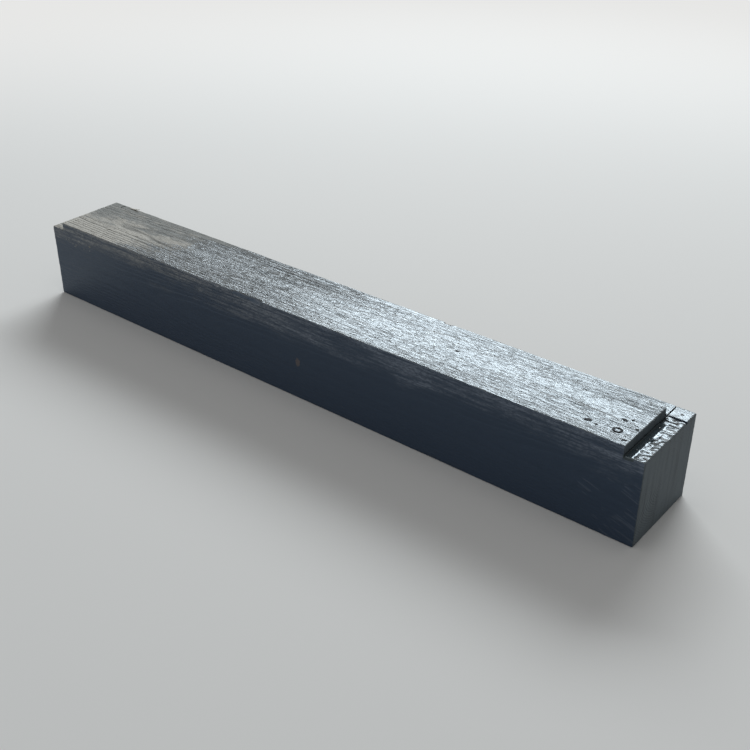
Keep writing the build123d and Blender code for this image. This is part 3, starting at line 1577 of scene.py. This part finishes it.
@dataclass(frozen=True)
class BareWoodFinish:
    """Torn wood that the tar oil has only stained."""

    # Pale torn wood, partly its own colour and partly painted light: raised lighter to stand in for light on
    # the slivers' shaded sides.
    pale: Colour = (0.58, 0.54, 0.46, 1.0)
    stained: Colour = (0.16, 0.145, 0.12, 1.0)
    roughness: float = 0.7
    streaks: Pattern = Pattern((60.0, 600.0, 600.0))
    streak_edge: Span = (0.35, 0.65)

    def material(self) -> Material:
        """Makes the material, streaked along the grain.

        Returns:
            The material.
        """
        bench = NodeBench(bpy.data.materials.new("bare_wood"))
        streak = bench.step(bench.noise(bench.place(), self.streaks), *self.streak_edge)
        bench.shade(Base_Color=bench.blend(streak, self.pale, self.stained), Roughness=self.roughness,
                    IOR=REFRACTION)
        return bench.owner


@dataclass(frozen=True)
class Lamp:
    """A soft box."""

    name: str
    place: Triple
    target: Triple
    size: Span
    radiance: float
    colour: Triple = (1.0, 1.0, 1.0)

    def hang(self) -> None:
        """Hangs the lamp and points it."""
        data = bpy.data.lights.new(self.name, "AREA")
        data.shape = "RECTANGLE"
        data.size, data.size_y = self.size
        data.energy = self.radiance * math.pi * self.size[0] * self.size[1]
        data.color = self.colour
        stand(linked(self.name, data), self.place, self.target)


@dataclass
class Studio:
    """The plain pale floor, the soft lamps and the camera."""

    floor_size: float = 80.0
    fade: Span = (1.5, 4.2)
    floor_colour: Colour = (0.70, 0.67, 0.635, 1.0)
    air_colour: Colour = (0.87, 0.94, 1.0, 1.0)
    air_strength: float = 0.26
    backdrop_colour: Colour = (0.80, 0.80, 0.79, 1.0)
    camera_place: Triple = (1.391, -1.545, 1.243)
    camera_aim: Triple = (0.1815, -0.0528, 0.1)
    lens: float = 52.6
    far_clip: float = 200.0
    lamps: tuple[Lamp, ...] = (
        Lamp("sky_window", (-2.85, 6.3, 4.7), (0.2, 0.0, 0.2), (6.4, 2.8), 12.8, (0.86, 0.94, 1.0)),
        Lamp("ceiling", (0.3, -0.6, 5.0), (0.1, 0.0, 0.0), (4.0, 4.0), 0.8),
    )

    def floor(self) -> None:
        """Lays the floor."""
        half = self.floor_size / 2
        corners = [(-half, -half, 0.0), (half, -half, 0.0), (half, half, 0.0), (-half, half, 0.0)]
        mesh_object("studio_floor", corners, [(0, 1, 2, 3)], self.floor_finish())

    def floor_finish(self) -> Material:
        """Makes the floor's material: matt near the sleeper, and far off as pale as the backdrop.

        Returns:
            The material.
        """
        bench = NodeBench(bpy.data.materials.new("pale_floor"))
        bench.shade(Base_Color=self.floor_colour, Roughness=1.0, Specular_IOR_Level=0.0)
        away = bench.vector("LENGTH", bench.place(), result="Value")
        far_off = bench.product(bench.step(away, *self.fade), bench.seen())
        bench.overlay("Emission", self.backdrop_colour, far_off)
        return bench.owner

    def air(self) -> None:
        """Sets the world: dim and cool as light, pale where it is seen or mirrored."""
        bench = NodeBench(bpy.data.worlds.new("studio_air"), "Background", "OutputWorld")
        bench.shade(Color=self.air_colour, Strength=self.air_strength)
        bench.overlay("Background", self.backdrop_colour, bench.seen())
        bpy.context.scene.world = bench.owner

    def camera(self) -> None:
        """Sets up the camera at the photograph's viewing angle."""
        data = bpy.data.cameras.new("camera")
        data.lens = self.lens
        data.clip_end = self.far_clip
        camera = linked("camera", data)
        stand(camera, self.camera_place, self.camera_aim)
        bpy.context.scene.camera = camera

    def build(self) -> None:
        """Sets up the whole studio."""
        self.floor()
        self.air()
        for lamp in self.lamps:
            lamp.hang()
        self.camera()
        bpy.context.scene.view_settings.view_transform = "Standard"


def main() -> None:
    """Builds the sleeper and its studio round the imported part."""
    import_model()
    low, high = (np.array(corner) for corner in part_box(NODE))
    body = SleeperBody(low, high)
    timber = body.build(TimberFinish().material())
    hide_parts(NODE)
    for piece in [timber, *LooseBits(body).build()]:
        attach(piece, BODY)
        LOG.info("%s: %d faces", piece.name, len(piece.data.polygons))
    Studio().build()


if __name__ == "__main__":
    logging.basicConfig(level=logging.INFO, format="%(name)s: %(message)s")
    main()
